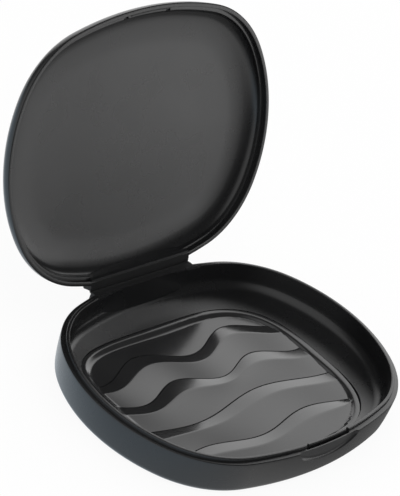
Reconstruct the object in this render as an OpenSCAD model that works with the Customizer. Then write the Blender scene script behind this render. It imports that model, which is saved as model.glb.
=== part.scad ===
// Slim hinged retainer case, shown open. X runs along the hinge, the latch faces -Y,
// +Z is up and the origin is the middle of the foot. All sizes are millimetres.

/* [Outline] */
// Width of the case along the hinge
case_w = 90; // [84:1:98]
// Depth of the case from latch to hinge
case_d = 69; // [65:1:75]
// Radius of the long front and rear arcs
front_r = 95; // [88:1:120]
// Radius of the left and right arcs
side_r = 39; // [36:1:44]
// Radius of the four corner arcs
corner_r = 26.5; // [24:0.5:30]

/* [Base] */
// Height of the base from the table to its rim
base_h = 9.5; // [8.5:0.5:14]
// Thickness of the wall of base and lid at the rim
wall_t = 2.1; // [1.8:0.1:2.6]
// Width of the raised lip on the inner half of the base rim
lip_w = 0.9; // [0.6:0.1:1.1]
// Height of the lip above the rim
lip_h = 0.8; // [0.5:0.1:1.2]
// How far the outer wall leans in towards the foot
wall_lean = 0.6; // [0.2:0.1:1.2]
// Radius of the rounded edge round the foot
foot_edge_r = 1.8; // [1:0.1:2.4]
// Radius between the inner wall and the floor
inner_r = 0.6; // [0.4:0.1:1.6]
// Rise of the sloping floor from the tray to the wall
floor_rise = 1; // [0.3:0.1:1.2]
// Width of the sloping floor beside the wall
floor_slope_w = 8.6; // [7:0.2:9.6]
// Thickness of the floor under the tray
floor_t = 0.9; // [0.7:0.1:1.5]

/* [Wave tray] */
// Width of the tray right of the middle
tray_right = 32.2; // [28:0.2:34]
// Width of the tray left of the middle
tray_left = 35; // [30:0.2:36]
// Depth of the tray
tray_d = 51.6; // [46:0.2:53]
// How far the tray sits forward of the middle
tray_forward = 2.6; // [1:0.1:3]
// Thickness of the tray at its edge
tray_t = 1.5; // [1.3:0.1:2]
// Squareness of the tray outline
tray_power = 3.2; // [2.6:0.1:4]
// Squareness of its rear left corner
corner_power = 5; // [3:0.1:6]
// Width of the level flange round the tray
flange_w = 1.2; // [0.6:0.1:2]
// Slope of the tray inside its flange
border_slope = 0.55; // [0.3:0.05:1]
// Depth of the crests below the flange
border_drop = 0.3; // [0.1:0.05:0.5]
// Depth of the troughs below the crests
wave_drop = 0.4; // [0.2:0.05:0.6]
// Share of each wave taken by its steep side
wave_front = 0.33; // [0.25:0.01:0.5]
// Gap between the tray and its pocket
tray_gap = 0.1; // [0.05:0.05:0.3]

/* [Lid] */
// Width of the curve between the inside of the lid's wall and its floor
bowl_w = 11; // [7:0.5:12]
// Gap between the closed rims
seam = 0.12; // [0.08:0.02:0.3]
// Thickness of the skirt that closes outside the lip
skirt_t = 1.1; // [0.7:0.1:1.1]
// Depth of the step behind the skirt
step_h = 1.1; // [1:0.1:1.8]
// Height of the straight part of the lid's outer wall
lid_straight_h = 0.8; // [0.5:0.1:1.5]
// Width of the rolled edge of the lid
roll_w = 9; // [6:0.5:11]
// Height of the rolled edge of the lid
roll_h = 4.8; // [4.2:0.1:6.5]
// Rise of the lid's top inside the rolled edge
crown_h = 0.3; // [0.1:0.1:0.8]
// Thickness of the top of the lid
lid_t = 1.3; // [1:0.1:1.8]
// Angle between lid and base as shown
open_angle = 110; // [90:1:150]

/* [Hinge] */
// Length of the hinge
hinge_w = 34.4; // [24:0.2:40]
// Thickness of each hinge leaf front to back
leaf_t = 2.05; // [1.6:0.05:2.6]
// Height of each hinge leaf
leaf_h = 2.6; // [1.8:0.1:3.2]
// Distance from the hinge line to the foot of the straight wall in front of it
hinge_wall_t = 3.7; // [3:0.1:4.5]
// Distance of the hinge line in from the rear of the outline
hinge_inset = 0.2; // [0.1:0.1:0.5]
// Radius of the groove that the web lies in
web_r = 0.6; // [0.5:0.05:0.9]
// Thickness of the hinge web
web_t = 0.35; // [0.25:0.05:0.45]

/* [Latch] */
// Width of the latch tongue
tongue_w = 13.6; // [10:0.2:18]
// Thickness of the latch tongue
tongue_t = 0.65; // [0.5:0.05:0.8]
// Depth of the tongue below the rim
tongue_depth = 3.2; // [2.2:0.1:3.6]
// Width of the slits beside the tongue
slit_w = 0.9; // [0.4:0.1:1.2]
// Width of the slot in front of the tongue
slot_w = 0.55; // [0.4:0.05:0.6]
// Running gap round the root of the tongue
root_gap = 0.06; // [0.04:0.01:0.1]
// Width of the thumb notch at the rim
notch_w = 21.6; // [18:0.2:26]
// Depth of the thumb notch below the rim
notch_drop = 4; // [3:0.1:5]
// Gap between the lid's catch and the tongue
catch_gap = 0.08; // [0.05:0.01:0.2]
// Width of the relief at each end of the catch
relief_w = 1.6; // [1:0.1:2.4]
// Depth of those reliefs beyond the step
relief_h = 0.8; // [0.4:0.1:1]

/* [Hidden] */
$fa = 3;
$fs = 0.4;
rim_round = 0.25;
lip_chamfer = 0.2;
rim_w = wall_t - lip_w;
foot_in = wall_lean + foot_edge_r;
tray_top = floor_t + tray_t;
floor_foot = tray_top + floor_rise;
flat_in = wall_t + inner_r + floor_slope_w;
ring_w = 14.5;
plate_in = ring_w - 0.7;
crown_in = ring_w - 1.5;
lid_rim = base_h + seam;
roll_foot = lid_rim + lid_straight_h;
lid_top = roll_foot + roll_h + crown_h;
hinge_y = case_d / 2 - hinge_inset;
hinge_z = base_h + seam / 2;
leaf_back = 0.05;
leaf_gusset = 1;
leaf_trim = 3;
lip_end_gap = 0.2;
web_gap = 0.03;
web_grip = 20;
tongue_out = wall_t - tongue_t;
slot_out = tongue_out - slot_w;
tongue_root = base_h - tongue_depth;
lip_top = base_h + lip_h;
notch_depth = notch_w * notch_w / 8 / front_r;
relief_x = (tongue_w + slit_w) / 2;
catch_w = 2 * relief_x - relief_w;
catch_in = tongue_out - catch_gap;
clear = 1;
joint_step = 0.02;
joint_lap = 1;
plate_skip = 2.3;

// The trough lines of the tray as shares of its depth and width: place, swing, wave length
// and where one wave peaks
wave_shares = [[0.271, 0.05, 0.461, 0.231], [0.07, 0.039, 0.402, 0.223],
    [-0.136, 0.035, 0.714, 0.104], [-0.339, 0.029, 0.536, 0.193]];
tray_w = tray_left + tray_right;
waves = [for (w = wave_shares) [w[0] * tray_d, w[1] * tray_d, w[2] * tray_w, w[3] * tray_w]];
tray_cols = 40;
tray_end = 0.995;
rear_steps = [0, 0.14, 0.28, 0.6];
wave_steps = [0, wave_front / 3, wave_front * 2 / 3, wave_front, 0.55, 0.78];
front_steps = [0, wave_front / 2, wave_front, 0.52, 0.7, 0.86];
row_gap = 0.05;

// The outline is eight tangent arcs. These are the centres of the front arc, the right
// arc and the corner arc between them, and the angles where the arcs meet.
front_c = [0, front_r - case_d / 2];
side_c = [case_w / 2 - side_r, 0];
span = norm(side_c - front_c);
to_front = front_r - corner_r;
to_side = side_r - corner_r;
along = (to_front * to_front - to_side * to_side + span * span) / (2 * span);
across = sqrt(to_front * to_front - along * along);
way = (side_c - front_c) / span;
corner_c = front_c + way * along + [-way[1], way[0]] * across;
front_end = atan2(corner_c[1] - front_c[1], corner_c[0] - front_c[0]);
side_end = atan2(corner_c[1] - side_c[1], corner_c[0] - side_c[0]);

function arc(c, r, a0, a1, n) =
    [for (i = [0 : n]) c + r * [cos(a0 + (a1 - a0) * i / n), sin(a0 + (a1 - a0) * i / n)]];

// Points on a quarter ellipse that starts upright at p and ends level
function rolled(p, w, h, n) =
    [for (i = [0 : n]) p + [w * (1 - cos(90 * i / n)), h * sin(90 * i / n)]];

function turned(points) = [for (i = [len(points) - 1 : -1 : 0]) points[i]];

// The outline drawn in by d, from the middle of the front round to the middle of the rear.
// Its points keep off the joints between the arcs.
function half_outline(d) =
    let (quarter = concat(
        arc(front_c, front_r - d, -90, front_end - plate_skip, 3),
        arc(corner_c, corner_r - d, front_end + plate_skip, side_end - plate_skip, 5),
        arc(side_c, side_r - d, side_end + plate_skip, 0, 4)))
    concat(quarter, [for (p = turned(quarter)) [p[0], -p[1]]]);

module inset_plate(d) {
    half = half_outline(d);
    polygon(concat(half, [for (p = turned(half)) [-p[0], p[1]]]));
}

// A profile is a list of points [distance in from the outline, height]
module sweep_arc(c, r, a0, a1, profile) {
    translate(c)
        rotate_extrude(start = a0, angle = a1 - a0)
            polygon([for (p = profile) [r - p[0], p[1]]]);
}

// A profile that runs clockwise, drawn in by d all round
function drawn_in(points, d) =
    let (n = len(points))
    [for (i = [0 : n - 1])
        let (p = points[i], u = p - points[(i + n - 1) % n], v = points[(i + 1) % n] - p,
            nu = [u[1], -u[0]] / norm(u), nv = [v[1], -v[0]] / norm(v))
        p + d * (nu + nv) / (1 + nu * nv)];

// The corner arcs run on a little into the arcs beside them, just under their surface
module sweep_outline(profile) {
    corner_profile = drawn_in(profile, joint_step);
    for (m = [0, 1])
        mirror([0, m, 0])
            sweep_arc(front_c, front_r, -180 - front_end, front_end, profile);
    for (m = [0, 1])
        mirror([m, 0, 0])
            sweep_arc(side_c, side_r, side_end, -side_end, profile);
    for (mx = [0, 1], my = [0, 1])
        mirror([mx, 0, 0])
            mirror([0, my, 0])
                sweep_arc(corner_c, corner_r, front_end - joint_lap, side_end + joint_lap, corner_profile);
}

// A length of a profile along the front arc, its middle at x
module sweep_front(x, width, profile) {
    half = asin(width / 2 / front_r);
    middle = asin(x / front_r) - 90;
    sweep_arc(front_c, front_r, middle - half, middle + half, profile);
}

function box_profile(in0, in1, z0, z1) = [[in0, z0], [in1, z0], [in1, z1], [in0, z1]];

// A section in Y and Z carried along the hinge
module along_hinge(width) {
    rotate([90, 0, 90])
        linear_extrude(width, center = true)
            children();
}

// Everything on the lid is drawn closed and then swung open
module swung_open() {
    translate([0, hinge_y, hinge_z])
        rotate([-open_angle, 0, 0])
            translate([0, -hinge_y, -hinge_z])
                children();
}

module hinge_groove(gap) {
    along_hinge(hinge_w + clear)
        translate([hinge_y, hinge_z])
            circle(r = web_r + gap, $fn = 48);
}

// One leaf in section: z is the rim it belongs to, up is 1 for the lid and -1 for the base
module leaf_section(z, up, back) {
    polygon([
        [hinge_y + back, z],
        [hinge_y - leaf_t, z],
        [hinge_y - leaf_t, z + up * (leaf_h + leaf_gusset)],
        [hinge_y - leaf_back, z + up * leaf_h],
        [hinge_y + back, z + up * leaf_h]
    ]);
}

module leaf_space(z, up) {
    along_hinge(hinge_w)
        leaf_section(z, up, leaf_trim);
}

function tray_side(x) = x > 0 ? tray_right : tray_left;
function tray_squareness(x, end) = x < 0 && end > 0 ? corner_power : tray_power;

// The tray's outline at x, drawn out by grow: end is 1 for its rear and -1 for its front
function tray_edge(x, end, grow) =
    let (u = min(1, abs(x) / (tray_side(x) + grow)), power = tray_squareness(x, end))
    end * (tray_d / 2 + grow) * pow(max(0, 1 - pow(u, power)), 1 / power) - tray_forward;

function tray_x(i, grow) =
    let (share = tray_end * sin(90 * (2 * i / tray_cols - 1)))
    share * (tray_side(share) + grow);

function trough(k, x) =
    k == 0 ? tray_edge(x, 1, 0) :
    k > len(waves) ? tray_edge(x, -1, 0) :
    waves[k - 1][0] + waves[k - 1][1] * cos(360 * (x - waves[k - 1][3]) / waves[k - 1][2]);

// Depth of band k at a share s of the way to the next trough: steep up, then gently down
function band_drop(k, s) =
    border_drop + wave_drop * (
        k == 0 ? 1 :
        s < wave_front ? 1 - s / wave_front : (s - wave_front) / (1 - wave_front));

// Depth of the slope inside the flange
function border_height(x, y) =
    let (v = y + tray_forward,
        power = tray_squareness(x, v),
        e = pow(pow(abs(x) / tray_side(x), power) + pow(abs(v) * 2 / tray_d, power), 1 / power))
    border_slope * max(0, (1 / max(e, 0.01) - 1) * norm([x, v]) - flange_w);

module tray_pocket() {
    xs = [for (i = [0 : tray_cols]) tray_x(i, tray_gap)];
    translate([0, 0, floor_t])
        linear_extrude(base_h)
            polygon(concat(
                [for (x = xs) [x, tray_edge(x, 1, tray_gap)]],
                [for (x = turned(xs)) [x, tray_edge(x, -1, tray_gap)]]));
}

// A plane that slopes down and out, and cuts a crescent from the crowned wall
module thumb_notch() {
    translate([0, -case_d / 2 + notch_depth, base_h])
        rotate([-atan(notch_depth / notch_drop), 0, 0])
            translate([-notch_w, -2 * notch_drop, -2 * notch_drop])
                cube([2 * notch_w, 2 * notch_drop, 4 * notch_drop]);
}

// The straight inner wall along the hinge, and the way through the lip for the hinge
module hinge_wall() {
    intersection() {
        linear_extrude(base_h) inset_plate(wall_t / 2);
        along_hinge(hinge_w + 2 * leaf_t / 3)
            polygon([
                [case_d / 2, tray_top / 2],
                [hinge_y - hinge_wall_t, tray_top / 2],
                [hinge_y - hinge_wall_t, floor_foot],
                [hinge_y - leaf_t - leaf_back, base_h],
                [case_d / 2, base_h]
            ]);
    }
}

module lip_way() {
    half = hinge_w / 2 + lip_end_gap;
    top = lip_h + clear;
    translate([0, case_d, base_h])
        rotate([90, 0, 0])
            linear_extrude(case_d)
                polygon([[-half, 0], [half, 0], [half + top, top], [-half - top, top]]);
}

base_profile = concat(
    [[ring_w, 0]],
    turned(arc([foot_in, foot_edge_r], foot_edge_r, 180, 270, 6)),
    [for (s = [0.3, 0.6, 0.8]) [wall_lean * pow(1 - s, 2), foot_edge_r + (base_h - foot_edge_r) * s]],
    [[0, base_h - rim_round], [rim_round, base_h], [rim_w, base_h]],
    [[rim_w, lip_top - lip_chamfer], [rim_w + lip_chamfer, lip_top]],
    [[wall_t - lip_chamfer, lip_top], [wall_t, lip_top - lip_chamfer]],
    arc([wall_t + inner_r, floor_foot + inner_r], inner_r, 180, 262, 7),
    [[flat_in, tray_top], [ring_w, tray_top]]
);

module base_shell() {
    color("#2f3032")
    difference() {
        union() {
            sweep_outline(base_profile);
            linear_extrude(tray_top) inset_plate(plate_in);
            hinge_wall();
        }
        tray_pocket();
        sweep_front(0, tongue_w + 2 * slit_w,
            box_profile(slot_out, wall_t + slit_w, tongue_root, lip_top + clear));
        thumb_notch();
        leaf_space(base_h, -1);
        lip_way();
    }
}

module wave_tray() {
    function steps(k) = k == 0 ? rear_steps : k < len(waves) ? wave_steps : front_steps;
    rows = concat([for (k = [0 : len(waves)], s = steps(k)) [k, s]], [[len(waves), 1]]);
    last = len(rows) - 1;
    row_len = tray_cols + 1;
    function row_y(i, x) =
        let (k = rows[i][0], s = rows[i][1], y = trough(k, x) * (1 - s) + trough(k + 1, x) * s)
        max(tray_edge(x, -1, 0) + (last - i) * row_gap, min(tray_edge(x, 1, 0) - i * row_gap, y));
    top = [for (i = [0 : last], j = [0 : tray_cols])
        let (x = tray_x(j, 0), y = row_y(i, x))
        [x, y, tray_top - min(band_drop(rows[i][0], rows[i][1]), border_height(x, y))]];
    rim = concat(
        [for (j = [0 : tray_cols]) j],
        [for (i = [1 : last]) i * row_len + tray_cols],
        [for (j = [tray_cols - 1 : -1 : 0]) last * row_len + j],
        [for (i = [last - 1 : -1 : 1]) i * row_len]);
    count = len(rim);
    foot = len(top);
    color("#1d1e20")
    polyhedron(
        points = concat(top, [for (i = rim) [top[i][0], top[i][1], floor_t]], [[0, -tray_forward, floor_t]]),
        faces = concat(
            [for (i = [0 : last - 1], j = [0 : tray_cols - 1])
                let (a = i * row_len + j) [a, a + 1, a + row_len]],
            [for (i = [0 : last - 1], j = [0 : tray_cols - 1])
                let (a = i * row_len + j) [a + 1, a + row_len + 1, a + row_len]],
            [for (n = [0 : count - 1]) [rim[n], foot + n, foot + (n + 1) % count]],
            [for (n = [0 : count - 1]) [rim[n], foot + (n + 1) % count, rim[(n + 1) % count]]],
            [for (n = [0 : count - 1]) [foot + count, foot + (n + 1) % count, foot + n]]));
}

module latch_tongue() {
    root_c = [tongue_out + tongue_t / 2, tongue_root + root_gap + tongue_t / 2];
    color("#3a3b3e")
    sweep_front(0, tongue_w, concat(
        arc(root_c, tongue_t / 2, 180, 360, 12),
        [[wall_t, lip_top - lip_chamfer], [wall_t - lip_chamfer, lip_top]],
        [[tongue_out + lip_chamfer, lip_top], [tongue_out, lip_top - lip_chamfer]]));
}

module base_hinge_leaf() {
    color("#393a3c")
    difference() {
        along_hinge(hinge_w) leaf_section(base_h, -1, -leaf_back);
        hinge_groove(0);
    }
}

module hinge_web() {
    color("#232426")
    translate([0, hinge_y, hinge_z])
        rotate([90, 0, 90])
            rotate_extrude(start = 180 + web_grip, angle = 360 - 2 * web_grip - open_angle, $fn = 96)
                translate([web_r - web_t, -hinge_w / 2])
                    square([web_t, hinge_w]);
}

module lid_hinge_leaf() {
    color("#393a3c")
    swung_open()
        difference() {
            along_hinge(hinge_w) leaf_section(lid_rim, 1, -leaf_back);
            hinge_groove(web_gap);
        }
}

lid_profile = concat(
    [[rim_round, lid_rim], [0, lid_rim + rim_round]],
    rolled([0, roll_foot], roll_w, roll_h, 14),
    [[crown_in, lid_top], [ring_w, lid_top], [ring_w, lid_top - lid_t]],
    turned(rolled([wall_t, lid_rim + step_h], bowl_w, lid_top - lid_t - lid_rim - step_h, 14)),
    [[skirt_t, lid_rim + step_h], [skirt_t, lid_rim]]
);

module lid_shell() {
    color("#2f3032")
    swung_open()
        difference() {
            union() {
                sweep_outline(lid_profile);
                translate([0, 0, lid_top - lid_t]) linear_extrude(lid_t) inset_plate(plate_in);
            }
            leaf_space(lid_rim, 1);
            for (side = [-1, 1])
                sweep_front(side * relief_x, relief_w,
                    box_profile(skirt_t, wall_t + slit_w,
                        lid_rim + step_h / 2, lid_rim + step_h + relief_h));
        }
}

module lid_catch() {
    color("#3a3b3e")
    swung_open()
        sweep_front(0, catch_w, box_profile(skirt_t, catch_in, lid_rim, lid_rim + step_h));
}

base_shell();
wave_tray();
latch_tongue();
base_hinge_leaf();
hinge_web();
lid_hinge_leaf();
lid_shell();
lid_catch();
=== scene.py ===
# Open retainer case in satin charcoal plastic with a glossy waved tray, on a pale floor.
# Every piece is drawn in millimetres in the frame of the CAD model and then scaled to metres.
import math

import bmesh
import bpy
from mathutils import Matrix, Vector


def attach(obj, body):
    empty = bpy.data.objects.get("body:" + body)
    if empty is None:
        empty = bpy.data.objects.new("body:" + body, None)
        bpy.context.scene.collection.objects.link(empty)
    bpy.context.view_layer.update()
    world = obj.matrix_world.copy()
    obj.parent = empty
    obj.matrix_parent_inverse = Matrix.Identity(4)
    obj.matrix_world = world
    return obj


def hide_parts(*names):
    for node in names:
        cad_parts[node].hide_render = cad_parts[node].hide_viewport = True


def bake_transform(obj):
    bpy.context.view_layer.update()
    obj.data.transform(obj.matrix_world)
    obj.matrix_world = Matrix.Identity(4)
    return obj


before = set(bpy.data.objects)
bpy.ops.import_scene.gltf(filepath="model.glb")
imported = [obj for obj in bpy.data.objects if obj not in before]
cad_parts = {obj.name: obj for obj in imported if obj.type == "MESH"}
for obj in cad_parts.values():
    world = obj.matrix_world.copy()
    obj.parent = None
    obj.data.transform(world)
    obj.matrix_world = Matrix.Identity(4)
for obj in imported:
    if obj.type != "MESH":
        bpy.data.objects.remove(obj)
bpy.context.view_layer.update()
MM = 0.001

# Outline of the case: eight tangent arcs
case_w, case_d = 90.0, 69.0
front_r, side_r, corner_r = 95.0, 39.0, 26.5
front_y = front_r - case_d / 2
side_x = case_w / 2 - side_r
span = math.hypot(side_x, front_y)
to_front, to_side = front_r - corner_r, side_r - corner_r
along = (to_front ** 2 - to_side ** 2 + span ** 2) / (2 * span)
across = math.sqrt(to_front ** 2 - along ** 2)
way_x, way_y = side_x / span, -front_y / span
corner_x = way_x * along - way_y * across
corner_y = front_y + way_y * along + way_x * across
front_end = math.atan2(corner_y - front_y, corner_x)
side_end = math.atan2(corner_y, corner_x - side_x)

# Heights and wall sizes of the base
base_h = 9.5
wall_t = 2.1
wall_bend_h, wall_bend_r = 5.65, 3.7
rim_w = 1.2
lip_h = 0.8
lip_top = base_h + lip_h
wall_lean = 0.6
foot_r, foot_tuck = 1.8, 0.28
inner_r = 2.4
floor_t = 0.9
tray_top = 2.4
floor_rise = 1.19
flat_in, flat_r = 11.3, 2.5
ring_w = 14.5

# How far a cutter reaches past what it cuts, and how near a grid comes to the ends of a curve
clear = 1
curve_end = 0.9995

# Lid, drawn closed on the base
seam = 0.12
lid_rim = base_h + seam
skirt_t = 1.1
step_h = 1.1
lid_roll_w = 9.0
lid_roll_h = 4.8
lid_side_h = 0.8 + lid_roll_h
lid_t = 1.3
crown_w, crown_r = 13.0, 1.2
# Corners of the inner curve: inset from the wall, height over the step, rounding
bowl = ((0, 1.9, 2.0), (2.6, 2.7, 1.2), (6.5, 3.2, 2.4), (14, 3.5, 7.2))
bowl_end = 24.0
crown_h = 0.3
open_angle = math.radians(110)
hinge_inset = 0.2
hinge_y = case_d / 2 - hinge_inset
hinge_z = base_h + seam / 2

# Hinge and latch
hinge_w = 34.4
hinge_wall_t, lid_wall_in, wall_reach = 3.7, 2.8, 7
lip_end_gap = 0.2
leaf_t, leaf_h, leaf_gusset = 2.05, 2.6, 1
leaf_gap, leaf_back = 0.12, 0.05
web_r, web_t, web_gap = 0.6, 0.35, 0.03
web_grip = math.radians(20)
tongue_w, tongue_t = 13.6, 0.65
tongue_depth, root_gap = 3.2, 0.06
tongue_root = base_h - tongue_depth
slit_w, slot_w = 0.9, 0.55
tongue_in = wall_t - tongue_t
slot_in = tongue_in - slot_w
notch_w, notch_drop = 21.6, 4.0
notch_depth, notch_bevel = 0.6, 0.7
catch_gap = 0.08
catch_in = tongue_in - catch_gap
relief_w, relief_h = 1.6, 0.8
relief_x = (tongue_w + slit_w) / 2

# Wave tray
tray_right, tray_left, tray_d, tray_forward = 32.2, 35.0, 51.6, 2.6
tray_power, tray_corner_power = 3.2, 5.0
tray_gap = 0.1
flange_w, flange_right = 1.2, 2.4
border_slope, border_steep = 0.55, 2.2
border_drop = 0.3
wave_drop = 0.4
wave_front = 0.33
groove_w, groove_d = 0.32, 0.35
band_d = 10.5
rise_steps, fall_steps = 9, 16
# Place, swing, wave length and peak of each line, as shares of the tray's depth and width
wave_shares = ((0.271, 0.05, 0.461, 0.231), (0.07, 0.039, 0.402, 0.223),
               (-0.136, 0.035, 0.714, 0.104), (-0.339, 0.029, 0.536, 0.193))
tray_w = tray_left + tray_right
waves = [(place * tray_d, swing * tray_d, length * tray_w, peak * tray_w)
         for place, swing, length, peak in wave_shares]


# ---------------------------------------------------------------- mesh helpers
def all_of(bm):
    return bm.verts[:] + bm.edges[:] + bm.faces[:]


def verts_in(geom):
    return [g for g in geom if isinstance(g, bmesh.types.BMVert)]


def open_edges(bm):
    return [e for e in bm.edges if e.is_boundary]


def finish_mesh(bm, name, body, smooth_angle=30):
    """Turns the mesh outwards, shades it smooth up to an angle and puts it on its body."""
    bmesh.ops.recalc_face_normals(bm, faces=bm.faces)
    for face in bm.faces:
        face.smooth = True
    for edge in bm.edges:
        edge.smooth = not (edge.is_manifold and edge.calc_face_angle(0) > math.radians(smooth_angle))
    bmesh.ops.scale(bm, vec=(MM, MM, MM), verts=bm.verts)
    mesh = bpy.data.meshes.new(name)
    bm.to_mesh(mesh)
    bm.free()
    piece = bpy.data.objects.new(name, mesh)
    bpy.context.scene.collection.objects.link(piece)
    if body:
        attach(piece, body)
    return piece


def cut(bm, cutters, added=()):
    """Joins solids to a mesh, takes the cutters out and gives back the new mesh."""
    made = []
    for solid in [bm, *added, *cutters]:
        bmesh.ops.recalc_face_normals(solid, faces=solid.faces)
        mesh = bpy.data.meshes.new("cutting")
        solid.to_mesh(mesh)
        solid.free()
        made.append(bpy.data.objects.new("cutting", mesh))
        bpy.context.scene.collection.objects.link(made[-1])
    for number, tool in enumerate(made[1:]):
        step = made[0].modifiers.new("cut", "BOOLEAN")
        step.operation = "UNION" if number < len(added) else "DIFFERENCE"
        step.solver = "EXACT"
        step.object = tool
    result = bmesh.new()
    result.from_object(made[0], bpy.context.evaluated_depsgraph_get())
    for thing in made:
        mesh = thing.data
        bpy.data.objects.remove(thing)
        bpy.data.meshes.remove(mesh)
    bmesh.ops.remove_doubles(result, verts=result.verts, dist=0.002)
    return result


def draw_profile(bm, corners, tall=1.0, closed=False):
    """Edges at the middle of the front through corners (inset, height, rounding, segments)."""
    points = [bm.verts.new((0, inset - case_d / 2, z * tall)) for inset, z, _, _ in corners]
    for a, b in zip(points, points[1:]):
        bm.edges.new((a, b))
    if closed:
        bm.edges.new((points[-1], points[0]))
    for point, (_, _, rounding, segments) in zip(points, corners):
        if rounding:
            bmesh.ops.bevel(bm, geom=[point], offset=rounding, offset_type="OFFSET",
                            affect="VERTICES", segments=segments, profile=0.5, material=-1)
    bmesh.ops.scale(bm, vec=(1, 1, 1 / tall), verts=bm.verts)


def spin_on(bm, geom, centre, angle, steps):
    """Spins geometry about an upright axis and gives back its last copy."""
    return bmesh.ops.spin(bm, geom=geom, cent=(centre[0], centre[1], 0), axis=(0, 0, 1),
                          angle=angle, steps=steps, use_merge=False)["geom_last"]


def sweep_outline(bm):
    """Carries the profile round the eight arcs of the outline."""
    last = bm.verts[:] + bm.edges[:]
    last = spin_on(bm, last, (0, front_y), front_end + math.pi / 2, 30)
    last = spin_on(bm, last, (corner_x, corner_y), side_end - front_end, 26)
    spin_on(bm, last, (side_x, 0), -side_end, 18)
    bmesh.ops.mirror(bm, geom=all_of(bm), matrix=Matrix(),
                     merge_dist=0.0001, axis="Y")
    bmesh.ops.mirror(bm, geom=all_of(bm), matrix=Matrix(),
                     merge_dist=0.0001, axis="X")
    bmesh.ops.remove_doubles(bm, verts=bm.verts, dist=0.0005)


def close_loops(bm):
    """Fills the open loops left at the inner edge of a swept profile."""
    bmesh.ops.edgeloop_fill(bm, edges=open_edges(bm))


def front_bar(x, width, corners, steps):
    """A bar along the front arc with its middle at x, from a closed profile."""
    bm = bmesh.new()
    draw_profile(bm, corners, closed=True)
    bmesh.ops.contextual_create(bm, geom=bm.edges[:])
    middle, half = math.asin(x / front_r), math.asin(width / 2 / front_r)
    bmesh.ops.rotate(bm, cent=(0, front_y, 0), matrix=Matrix.Rotation(middle - half, 3, "Z"),
                     verts=bm.verts)
    bmesh.ops.spin(bm, geom=all_of(bm), cent=(0, front_y, 0),
                   axis=(0, 0, 1), angle=2 * half, steps=steps)
    bmesh.ops.recalc_face_normals(bm, faces=bm.faces)
    return bm


def square_bar(x, width, in0, in1, z0, z1, steps=24):
    """A bar along the front arc between two insets and two heights."""
    corners = [(in0, z0, 0, 0), (in1, z0, 0, 0), (in1, z1, 0, 0), (in0, z1, 0, 0)]
    return front_bar(x, width, corners, steps)


def along_hinge(points, width):
    """A solid with a section in Y and Z, carried along the hinge."""
    bm = bmesh.new()
    face = bm.faces.new([bm.verts.new((-width / 2, y, z)) for y, z in points])
    grown = bmesh.ops.extrude_face_region(bm, geom=[face])["geom"]
    bmesh.ops.translate(bm, vec=(width, 0, 0), verts=verts_in(grown))
    bmesh.ops.recalc_face_normals(bm, faces=bm.faces)
    return bm


def leaf_points(rim, up):
    """The section of a hinge leaf on a rim; up is 1 on the lid and -1 on the base."""
    return [(hinge_y - leaf_back, rim), (hinge_y - leaf_t, rim),
            (hinge_y - leaf_t, rim + up * (leaf_h + leaf_gusset)),
            (hinge_y - leaf_back, rim + up * leaf_h)]


def leaf_cutter(rim, up):
    """The space that a leaf takes in a shell, a little deeper behind the hinge."""
    outer, behind = rim + up * (leaf_h + leaf_gap), hinge_y + 3 * clear
    points = [(behind, rim), *leaf_points(rim, up)[1:], (hinge_y - leaf_back + 0.01, outer), (behind, outer)]
    return along_hinge(points, hinge_w)


def block(low, high):
    """A box between two corners."""
    bm = bmesh.new()
    bmesh.ops.create_cube(bm, size=1)
    bmesh.ops.scale(bm, vec=[b - a for a, b in zip(low, high)], verts=bm.verts)
    bmesh.ops.translate(bm, vec=[(a + b) / 2 for a, b in zip(low, high)], verts=bm.verts)
    return bm


def swing_open(bm):
    """Turns a piece of the closed lid to the angle of the photo."""
    bmesh.ops.rotate(bm, cent=(0, hinge_y, hinge_z), matrix=Matrix.Rotation(-open_angle, 3, "X"),
                     verts=bm.verts)
    return bm


def tray_shape(x, v):
    """Half width of the tray on this side, and how square the corner in this quarter is."""
    return (tray_right if x > 0 else tray_left), (tray_corner_power if x < 0 < v else tray_power)


def tray_round(shape, grow):
    """Moves the points of a unit circle onto the outline of the tray."""
    for v in shape.verts:
        x, y = v.co.x, v.co.y
        half, power = tray_shape(x, y)
        v.co.x = (half + grow) * math.copysign(abs(x) ** (2 / power), x)
        v.co.y = (tray_d / 2 + grow) * math.copysign(abs(y) ** (2 / power), y) - tray_forward


# ---------------------------------------------------------------- base
def thumb_notch():
    """A shallow crescent that follows the front wall and has a bevelled edge."""
    bm = bmesh.new()
    bmesh.ops.create_grid(bm, x_segments=64, y_segments=12, size=1)
    for v in bm.verts:
        v.co.x = math.sin(v.co.x * math.pi / 2) * curve_end
        v.co.y *= math.sqrt(1 - v.co.x ** 2)
    half, drop = notch_w / 2, notch_drop
    # From the flat face out through the bevel: depth in the wall, and how far past the crescent
    layers = ((notch_depth, -notch_bevel - 0.35), (0.87 * notch_depth, -notch_bevel),
              (notch_depth / 2, -0.55 * notch_bevel), (0, 0), (-1.5, 0.6))
    grown = bm.verts[:]
    rim = open_edges(bm)
    for number, (depth, out) in enumerate(layers):
        if number:
            new = bmesh.ops.extrude_edge_only(bm, edges=rim)["geom"]
            grown = verts_in(new)
            rim = [g for g in new if isinstance(g, bmesh.types.BMEdge) and g.is_boundary]
            before = layers[number - 1][1]
            size = ((half + out) / (half + before), 1, (drop + out) / (drop + before))
        else:
            bmesh.ops.rotate(bm, cent=(0, 0, 0), matrix=Matrix.Rotation(math.pi / 2, 3, "X"),
                             verts=grown)
            size = (half + out, 1, drop + out)
        bmesh.ops.scale(bm, vec=size, verts=grown)
        for v in grown:
            v.co.y = depth
    bmesh.ops.edgeloop_fill(bm, edges=rim)
    for v in bm.verts:
        v.co.y += front_y - math.sqrt(front_r ** 2 - v.co.x ** 2)
    bmesh.ops.translate(bm, vec=(0, 0, base_h), verts=bm.verts)
    return bm


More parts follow.
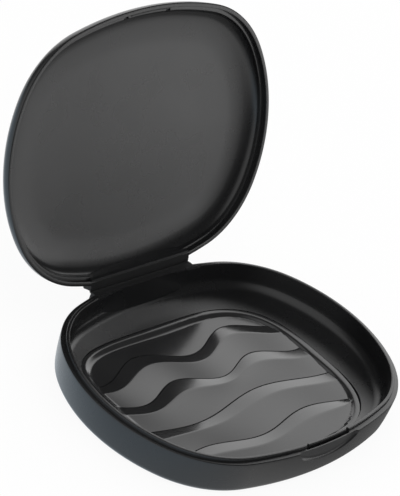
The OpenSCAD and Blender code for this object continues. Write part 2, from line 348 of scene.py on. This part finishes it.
def hinge_wall(width, corners, rim, depth, edge, foot):
    """A straight inner wall along the hinge, leaning from its edge at the rim to its foot."""
    bm = front_bar(0, width, [(*corner, 0, 0) for corner in corners], 40)
    bmesh.ops.rotate(bm, cent=(0, 0, 0), matrix=Matrix.Rotation(math.pi, 3, "Z"), verts=bm.verts)
    lean = math.copysign(edge - foot, -depth)
    for place, way in ((0, foot, 0), (0, -1, 0)), ((0, edge, rim), (0, -abs(depth), lean)):
        bmesh.ops.bisect_plane(bm, geom=all_of(bm), dist=0.0001,
                               plane_co=place, plane_no=way, clear_outer=True)
        bmesh.ops.holes_fill(bm, edges=open_edges(bm))
    return bm


def make_base():
    bm = bmesh.new()
    foot_in = wall_lean + foot_tuck
    draw_profile(bm, [
        (ring_w, 0, 0, 0), (foot_in, 0, foot_r, 8),
        (0, wall_bend_h, wall_bend_r, 10), (0, base_h, 0.25, 4),
        (rim_w, base_h, 0.08, 2), (rim_w, lip_top, 0.2, 4), (wall_t, lip_top, 0.2, 4),
        (wall_t, tray_top + floor_rise, inner_r, 8), (flat_in, tray_top, flat_r, 6),
        (ring_w, tray_top, 0, 0)])
    sweep_outline(bm)
    close_loops(bm)

    pocket = bmesh.new()
    bmesh.ops.create_circle(pocket, cap_ends=True, segments=240, radius=1)
    tray_round(pocket, tray_gap)
    bmesh.ops.translate(pocket, vec=(0, 0, floor_t), verts=pocket.verts)
    grown = bmesh.ops.extrude_face_region(pocket, geom=pocket.faces[:])["geom"]
    bmesh.ops.translate(pocket, vec=(0, 0, base_h), verts=verts_in(grown))

    slot = square_bar(0, tongue_w + 2 * slit_w, slot_in, wall_t + slit_w, tongue_root, lip_top + clear)
    half = hinge_w / 2 + lip_end_gap
    lip_gap = block((-half, 0, base_h), (half, case_d, lip_top + clear))
    for v in lip_gap.verts:
        if v.co.z > lip_top:
            v.co.x += math.copysign(lip_h + clear, v.co.x)
    corners = [(wall_t / 2, tray_top / 2), (wall_reach, tray_top / 2),
               (wall_reach, base_h), (wall_t / 2, base_h)]
    wall = hinge_wall(hinge_w + 2 * leaf_t / 3, corners, base_h, floor_t + tray_top - base_h,
                      hinge_y - leaf_t - leaf_back, hinge_y - hinge_wall_t)
    return cut(bm, [pocket, slot, thumb_notch(), leaf_cutter(base_h, -1), lip_gap], [wall])


base_piece = finish_mesh(make_base(), "base_shell_satin", "base")
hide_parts("base_shell")


# ---------------------------------------------------------------- lid
def make_lid():
    bm = bmesh.new()
    draw_profile(bm, [
        (ring_w, lid_side_h + crown_h, 0, 0), (crown_w, lid_side_h + crown_h, crown_r, 4),
        (0, lid_side_h, lid_roll_w, 20), (0, 0, 0.25, 4),
        (skirt_t, 0, 0.1, 2), (skirt_t, step_h, 0, 0),
        (wall_t, step_h, 0.15, 3), *[(wall_t + x, step_h + z, r, 12) for x, z, r in bowl],
        (bowl_end, lid_side_h + crown_h - lid_t, 0, 0)],
        tall=lid_roll_w / lid_roll_h)
    sweep_outline(bm)
    close_loops(bm)
    bmesh.ops.translate(bm, vec=(0, 0, lid_rim), verts=bm.verts)
    reliefs = [square_bar(side * relief_x, relief_w, skirt_t, wall_t + slit_w,
                          lid_rim + step_h / 2, lid_rim + step_h + relief_h, 6) for side in (-1, 1)]
    top = lid_side_h + crown_h - lid_t
    # The wall ends inside the thickness of the lid
    corners = [(wall_t / 2, 0), (wall_reach, 0), (wall_reach, top + 0.35), (wall_t / 2, top / 2 + 0.4)]
    wall = hinge_wall(hinge_w, corners, 0, top - 1, hinge_y - lid_wall_in, hinge_y - hinge_wall_t)
    bmesh.ops.translate(wall, vec=(0, 0, lid_rim), verts=wall.verts)
    return swing_open(cut(bm, [leaf_cutter(lid_rim, 1)] + reliefs, [wall]))


lid_piece = finish_mesh(make_lid(), "lid_shell_satin", "lid")
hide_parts("lid_shell")


# ---------------------------------------------------------------- wave tray
def outline_y(x, way):
    """The outline of the tray at x, at the rear for way 1 and at the front for way -1."""
    half, power = tray_shape(x, way)
    return way * tray_d / 2 * (1 - abs(x / half) ** power) ** (1 / power) - tray_forward


def crest(k, x):
    """The line behind band k, between the rear and the front of the outline."""
    rear, front = outline_y(x, 1), outline_y(x, -1)
    if k in (0, len(waves) + 1):
        return front if k else rear
    place, swing, length, peak = waves[k - 1]
    return max(front, min(rear, place + swing * math.cos(2 * math.pi * (x - peak) / length)))


def wave_drop_at(k, s):
    """Drop inside the border: a groove on each line, a short rise in front of it, then a long fall."""
    if s in (0, 1):
        return border_drop + wave_drop + groove_d
    if k == 0:
        return border_drop + wave_drop
    share = 1 - s / wave_front if s < wave_front else (s - wave_front) / (1 - wave_front)
    return border_drop + wave_drop * share


def border_height(x, v):
    """Drop below the rim of the tray: a level flange along its outline, then a slope."""
    half, power = tray_shape(x, v)
    e = (abs(x / half) ** power + abs(2 * v / tray_d) ** power) ** (1 / power)
    flange = flange_w + (flange_right - flange_w) * max(0, x / half) ** 3
    slope = border_slope + (border_steep - border_slope) * max(0, x / half, -2 * v / tray_d) ** 2
    inside = (1 / max(e, 0.01) - 1) * math.hypot(x, v) - flange
    return slope * (inside + math.sqrt(inside ** 2 + 0.1)) / 2


def softer(a, b, blend=0.3):
    """The smaller of two drops, with a small round where they meet."""
    h = max(0, blend - abs(a - b)) / blend
    return min(a, b) - h * h * blend / 4


def make_tray():
    """A grid whose rows follow the wave lines, pressed into waves inside a sloping border."""
    bm = bmesh.new()
    edge = groove_w / 2 / band_d
    steps = [0] + [edge + (wave_front - edge) * i / rise_steps for i in range(rise_steps)]
    steps += [wave_front + (1 - edge - wave_front) * i / fall_steps for i in range(fall_steps + 1)]
    columns, rows = 220, len(steps) * (len(waves) + 1)
    bmesh.ops.create_grid(bm, x_segments=columns, y_segments=rows, size=1)
    for vert in bm.verts:
        side = math.sin(math.pi / 2 * vert.co.x) * curve_end
        x = side * (tray_right if side > 0 else tray_left)
        k, step = divmod(round((1 - vert.co.y) / 2 * rows), len(steps))
        s = steps[step]
        if k > len(waves):
            k, s = len(waves), 1
        y = crest(k, x) * (1 - s) + crest(k + 1, x) * s
        vert.co = (x, y, tray_top - softer(wave_drop_at(k, s), border_height(x, y + tray_forward)))
    bmesh.ops.remove_doubles(bm, verts=bm.verts, dist=0.01)
    rim = open_edges(bm)
    grown = bmesh.ops.extrude_edge_only(bm, edges=rim)["geom"]
    for v in verts_in(grown):
        v.co.z = floor_t
    bmesh.ops.edgeloop_fill(bm, edges=open_edges(bm))
    return bm


tray_piece = finish_mesh(make_tray(), "wave_tray_gloss", "base", smooth_angle=14)
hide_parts("wave_tray")


# ---------------------------------------------------------------- latch tongue and lid catch
tongue = front_bar(0, tongue_w, [
    (tongue_in, tongue_root + root_gap, 0.3, 6), (wall_t, tongue_root + root_gap, 0.3, 6),
    (wall_t, lip_top, 0.2, 4), (tongue_in, lip_top, 0.2, 4)], 24)
tongue_piece = finish_mesh(tongue, "latch_tongue_satin", "latch")
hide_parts("latch_tongue")

catch = front_bar(0, 2 * relief_x - relief_w, [
    (skirt_t, lid_rim, 0.05, 2), (catch_in, lid_rim, 0.1, 3),
    (catch_in, lid_rim + step_h, 0, 0), (skirt_t, lid_rim + step_h, 0, 0)], 20)
catch_piece = finish_mesh(swing_open(catch), "lid_catch_satin", "lid")
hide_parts("lid_catch")


# ---------------------------------------------------------------- hinge
def hinge_leaf(rim, up, radius):
    """A leaf with a round groove of this radius for the web."""
    bm = bmesh.new()
    bmesh.ops.create_cone(bm, cap_ends=True, segments=48, radius1=radius, radius2=radius,
                          depth=hinge_w + clear)
    bmesh.ops.rotate(bm, cent=(0, 0, 0), matrix=Matrix.Rotation(math.pi / 2, 3, "Y"), verts=bm.verts)
    bmesh.ops.translate(bm, vec=(0, hinge_y, hinge_z), verts=bm.verts)
    return cut(along_hinge(leaf_points(rim, up), hinge_w), [bm])


base_leaf = finish_mesh(hinge_leaf(base_h, -1, web_r), "base_leaf_satin", "base")
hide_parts("base_hinge_leaf")
lid_leaf = finish_mesh(swing_open(hinge_leaf(lid_rim, 1, web_r + web_gap)), "lid_leaf_satin", "lid")
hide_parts("lid_hinge_leaf")


def make_web():
    """The thin bending strip, from the groove of the base round to the groove of the lid."""
    bm = bmesh.new()
    half = hinge_w / 2
    ends = [bm.verts.new((x, hinge_y - r, hinge_z)) for x, r in
            ((-half, web_r), (half, web_r), (half, web_r - web_t), (-half, web_r - web_t))]
    strip = bm.faces.new(ends)
    bmesh.ops.rotate(bm, cent=(0, hinge_y, hinge_z), matrix=Matrix.Rotation(web_grip, 3, "X"),
                     verts=ends)
    bmesh.ops.spin(bm, geom=ends + strip.edges[:] + [strip], cent=(0, hinge_y, hinge_z),
                   axis=(1, 0, 0), angle=2 * math.pi - 2 * web_grip - open_angle, steps=36)
    return bm


web_piece = finish_mesh(make_web(), "hinge_web_satin", None)
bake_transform(web_piece)
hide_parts("hinge_web")


# ---------------------------------------------------------------- materials
def map_range(tree, value, reach, result, smooth=False):
    """Turns a value between the ends of reach into one between the ends of result."""
    node = tree.nodes.new("ShaderNodeMapRange")
    if smooth:
        node.interpolation_type = "SMOOTHSTEP"
    node.inputs["From Min"].default_value, node.inputs["From Max"].default_value = reach
    node.inputs["To Min"].default_value, node.inputs["To Max"].default_value = result
    tree.links.new(value, node.inputs["Value"])
    return node.outputs["Result"]


def plastic(name, base, light, rough, grain_size, grain_height, shine=0.5):
    """Moulded plastic: slightly uneven colour and gloss, and a fine grain."""
    material = bpy.data.materials.new(name)
    material.use_nodes = True
    nodes, links = material.node_tree.nodes, material.node_tree.links
    shader = nodes["Principled BSDF"]
    shader.inputs["Specular IOR Level"].default_value = shine
    place = nodes.new("ShaderNodeTexCoord")
    cloud = nodes.new("ShaderNodeTexNoise")
    cloud.inputs["Scale"].default_value = 90
    cloud.inputs["Detail"].default_value = 4
    links.new(place.outputs["Object"], cloud.inputs["Vector"])
    tint = nodes.new("ShaderNodeValToRGB")
    tint.color_ramp.elements[0].position = 0.35
    tint.color_ramp.elements[0].color = (*base, 1)
    tint.color_ramp.elements[1].position = 0.7
    tint.color_ramp.elements[1].color = (*light, 1)
    links.new(cloud.outputs["Fac"], tint.inputs["Fac"])
    links.new(tint.outputs["Color"], shader.inputs["Base Color"])
    links.new(map_range(material.node_tree, cloud.outputs["Fac"], (0, 1), rough),
              shader.inputs["Roughness"])
    grain = nodes.new("ShaderNodeTexNoise")
    grain.inputs["Scale"].default_value = 1 / (grain_size * MM)
    grain.inputs["Detail"].default_value = 2
    links.new(place.outputs["Object"], grain.inputs["Vector"])
    bump = nodes.new("ShaderNodeBump")
    bump.inputs["Strength"].default_value = 0.6
    bump.inputs["Distance"].default_value = grain_height * MM
    links.new(grain.outputs["Fac"], bump.inputs["Height"])
    links.new(bump.outputs["Normal"], shader.inputs["Normal"])
    return material


satin = plastic("charcoal_satin", (0.0075, 0.0076, 0.008), (0.009, 0.0092, 0.0097),
                rough=(0.24, 0.3), grain_size=0.45, grain_height=0.001)
gloss = plastic("charcoal_gloss", (0.017, 0.017, 0.0175), (0.021, 0.021, 0.0215),
                rough=(0.1, 0.15), grain_size=0.8, grain_height=0.0006)
hinge_matt = plastic("charcoal_matt", (0.006, 0.0061, 0.0065), (0.0075, 0.0075, 0.008),
                     rough=(0.5, 0.6), grain_size=0.35, grain_height=0.004, shine=0.3)
for piece in (base_piece, lid_piece, tongue_piece, catch_piece, base_leaf, lid_leaf, web_piece):
    piece.data.materials.append(hinge_matt if piece in (base_leaf, lid_leaf, web_piece) else satin)
tray_piece.data.materials.append(gloss)
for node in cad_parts.values():
    node.data.materials.clear()
    node.data.materials.append(satin)


# ---------------------------------------------------------------- floor, lights, camera
def studio_white(tree, surface, seen_share, painted_dark_spot, painted_dark_spot_size, tones, painted_cool_side, painted_cool_white):
    """Shows a surface partly as plain white to the camera. Reflections see white instead, with a
    painted dark spot on it that darkens what the case reflects, and a painted cool tint towards the left
    that gives the case's left walls a painted blue-grey sheen."""
    nodes, links = tree.nodes, tree.links
    path = nodes.new("ShaderNodeLightPath")
    share = nodes.new("ShaderNodeMath")
    share.operation = "MULTIPLY_ADD"
    share.inputs[1].default_value = seen_share
    links.new(path.outputs["Is Camera Ray"], share.inputs[0])
    links.new(path.outputs["Is Glossy Ray"], share.inputs[2])
    place = nodes.new("ShaderNodeTexCoord")
    # Painted dark spot: near this point the floor glows dimmer in reflections only, which paints shade into
    # the reflections on the case's front walls.
    reach = nodes.new("ShaderNodeVectorMath")
    reach.operation = "DISTANCE"
    reach.inputs[1].default_value = painted_dark_spot
    links.new(place.outputs["Object"], reach.inputs[0])
    seen = nodes.new("ShaderNodeMix")
    seen.inputs["A"].default_value = 1
    links.new(path.outputs["Is Glossy Ray"], seen.inputs["Factor"])
    links.new(map_range(tree, reach.outputs["Value"], painted_dark_spot_size, tones, smooth=True), seen.inputs["B"])
    # Painted bluish reflection: towards the left the floor's glow, as reflections see it, turns bluish
    # white, which paints a blue-grey sheen on the case's left walls.
    sides = nodes.new("ShaderNodeSeparateXYZ")
    links.new(place.outputs["Object"], sides.inputs[0])
    cool = nodes.new("ShaderNodeMath")
    cool.operation = "MULTIPLY"
    links.new(path.outputs["Is Glossy Ray"], cool.inputs[0])
    links.new(map_range(tree, sides.outputs["X"], painted_cool_side, (0, 1)), cool.inputs[1])
    colour = nodes.new("ShaderNodeMix")
    colour.data_type = "RGBA"
    colour.inputs["A"].default_value = (1, 1, 1, 1)
    colour.inputs["B"].default_value = painted_cool_white
    links.new(cool.outputs[0], colour.inputs["Factor"])
    glow = nodes.new("ShaderNodeEmission")
    links.new(colour.outputs["Result"], glow.inputs["Color"])
    links.new(seen.outputs["Result"], glow.inputs["Strength"])
    mix = nodes.new("ShaderNodeMixShader")
    links.new(share.outputs[0], mix.inputs[0])
    links.new(surface, mix.inputs[1])
    links.new(glow.outputs[0], mix.inputs[2])
    return mix.outputs[0]


white = bpy.data.materials.new("pale_floor")
white.use_nodes = True
paint = white.node_tree.nodes["Principled BSDF"]
paint.inputs["Base Color"].default_value = (0.95, 0.95, 0.95, 1)
paint.inputs["Roughness"].default_value = 0.8
# In reflections, the floor's glow holds a painted dark spot in front of the case and a painted bluish tint
# on the left.
white.node_tree.links.new(
    studio_white(white.node_tree, paint.outputs[0], seen_share=0.92, painted_dark_spot=(0.075, -0.03, 0),
                 painted_dark_spot_size=(0.06, 0.13), tones=(0.27, 1.2), painted_cool_side=(-0.02, -0.05),
                 painted_cool_white=(0.74, 0.88, 1, 1)),
    white.node_tree.nodes["Material Output"].inputs["Surface"])
floor = bmesh.new()
bmesh.ops.create_grid(floor, x_segments=1, y_segments=1, size=3)
floor_mesh = bpy.data.meshes.new("floor")
floor.to_mesh(floor_mesh)
floor.free()
floor_piece = bpy.data.objects.new("floor", floor_mesh)
floor_mesh.materials.append(white)
bpy.context.scene.collection.objects.link(floor_piece)

world = bpy.data.worlds.new("studio")
bpy.context.scene.world = world
world.use_nodes = True
nodes, links = world.node_tree.nodes, world.node_tree.links
direction = nodes.new("ShaderNodeTexCoord")


def soft_panel(towards, edge, middle, low, high):
    """Brightness of a round soft panel in the sky of the reflections."""
    near = nodes.new("ShaderNodeVectorMath")
    near.operation = "DOT_PRODUCT"
    near.inputs[1].default_value = Vector(towards).normalized()
    links.new(direction.outputs["Generated"], near.inputs[0])
    return map_range(world.node_tree, near.outputs["Value"], (edge, middle), (low, high), smooth=True)


# Reflections see three soft panels: on the right, at the rear right and on the left. All else
# sees plain white.
panels = nodes.new("ShaderNodeMath")
links.new(soft_panel((0.85, 0.3, 0.43), 0.9, 0.985, 0.06, 2.4), panels.inputs[0])
links.new(soft_panel((0.5, 0.8, 0.25), 0.88, 0.97, 0, 1.5), panels.inputs[1])
sky = nodes.new("ShaderNodeMath")
links.new(panels.outputs[0], sky.inputs[0])
links.new(soft_panel((-0.88, 0, 0.47), 0.3, 0.85, 0, 0.9), sky.inputs[1])
path = nodes.new("ShaderNodeLightPath")
pick = nodes.new("ShaderNodeMix")
links.new(path.outputs["Is Glossy Ray"], pick.inputs["Factor"])
pick.inputs["A"].default_value = 1
links.new(sky.outputs[0], pick.inputs["B"])
links.new(pick.outputs["Result"], nodes["Background"].inputs["Color"])


lamp = bpy.data.lights.new("front_box", "AREA")
lamp.shape = "RECTANGLE"
lamp.size, lamp.size_y = 0.5, 0.14
lamp.energy = 0.5
lamp_place, lamp_aim = Vector((0.78, -0.55, 0.07)), Vector((0, 0, 0.02))
front_box = bpy.data.objects.new("front_box", lamp)
front_box.location = lamp_place
front_box.rotation_euler = (lamp_aim - lamp_place).to_track_quat("-Z", "Y").to_euler()
bpy.context.scene.collection.objects.link(front_box)

# The camera, as fitted to both rims in the photo
turn, rise, roll = math.radians(-55.025), math.radians(32.285), math.radians(20.003)
distance = 602.1
aim = Vector((24.337, 37.332, 9.5))
pixels_per_mm, picture_h, sensor = 3.892, 496, 36
back = Vector((math.sin(turn) * math.cos(rise), -math.cos(turn) * math.cos(rise), math.sin(rise)))
level = Vector((math.cos(turn), math.sin(turn), 0))
up = back.cross(level)
right = math.cos(roll) * level + math.sin(roll) * up
top = -math.sin(roll) * level + math.cos(roll) * up
view = bpy.data.cameras.new("view")
view.sensor_width = sensor
view.lens = pixels_per_mm * distance * sensor / picture_h
view.clip_start = 0.01
camera = bpy.data.objects.new("view", view)
camera.matrix_world = (Matrix.Translation((aim + distance * back) * MM)
                       @ Matrix((right, top, back)).transposed().to_4x4())
bpy.context.scene.collection.objects.link(camera)
bpy.context.scene.camera = camera
bpy.context.scene.view_settings.view_transform = "Standard"
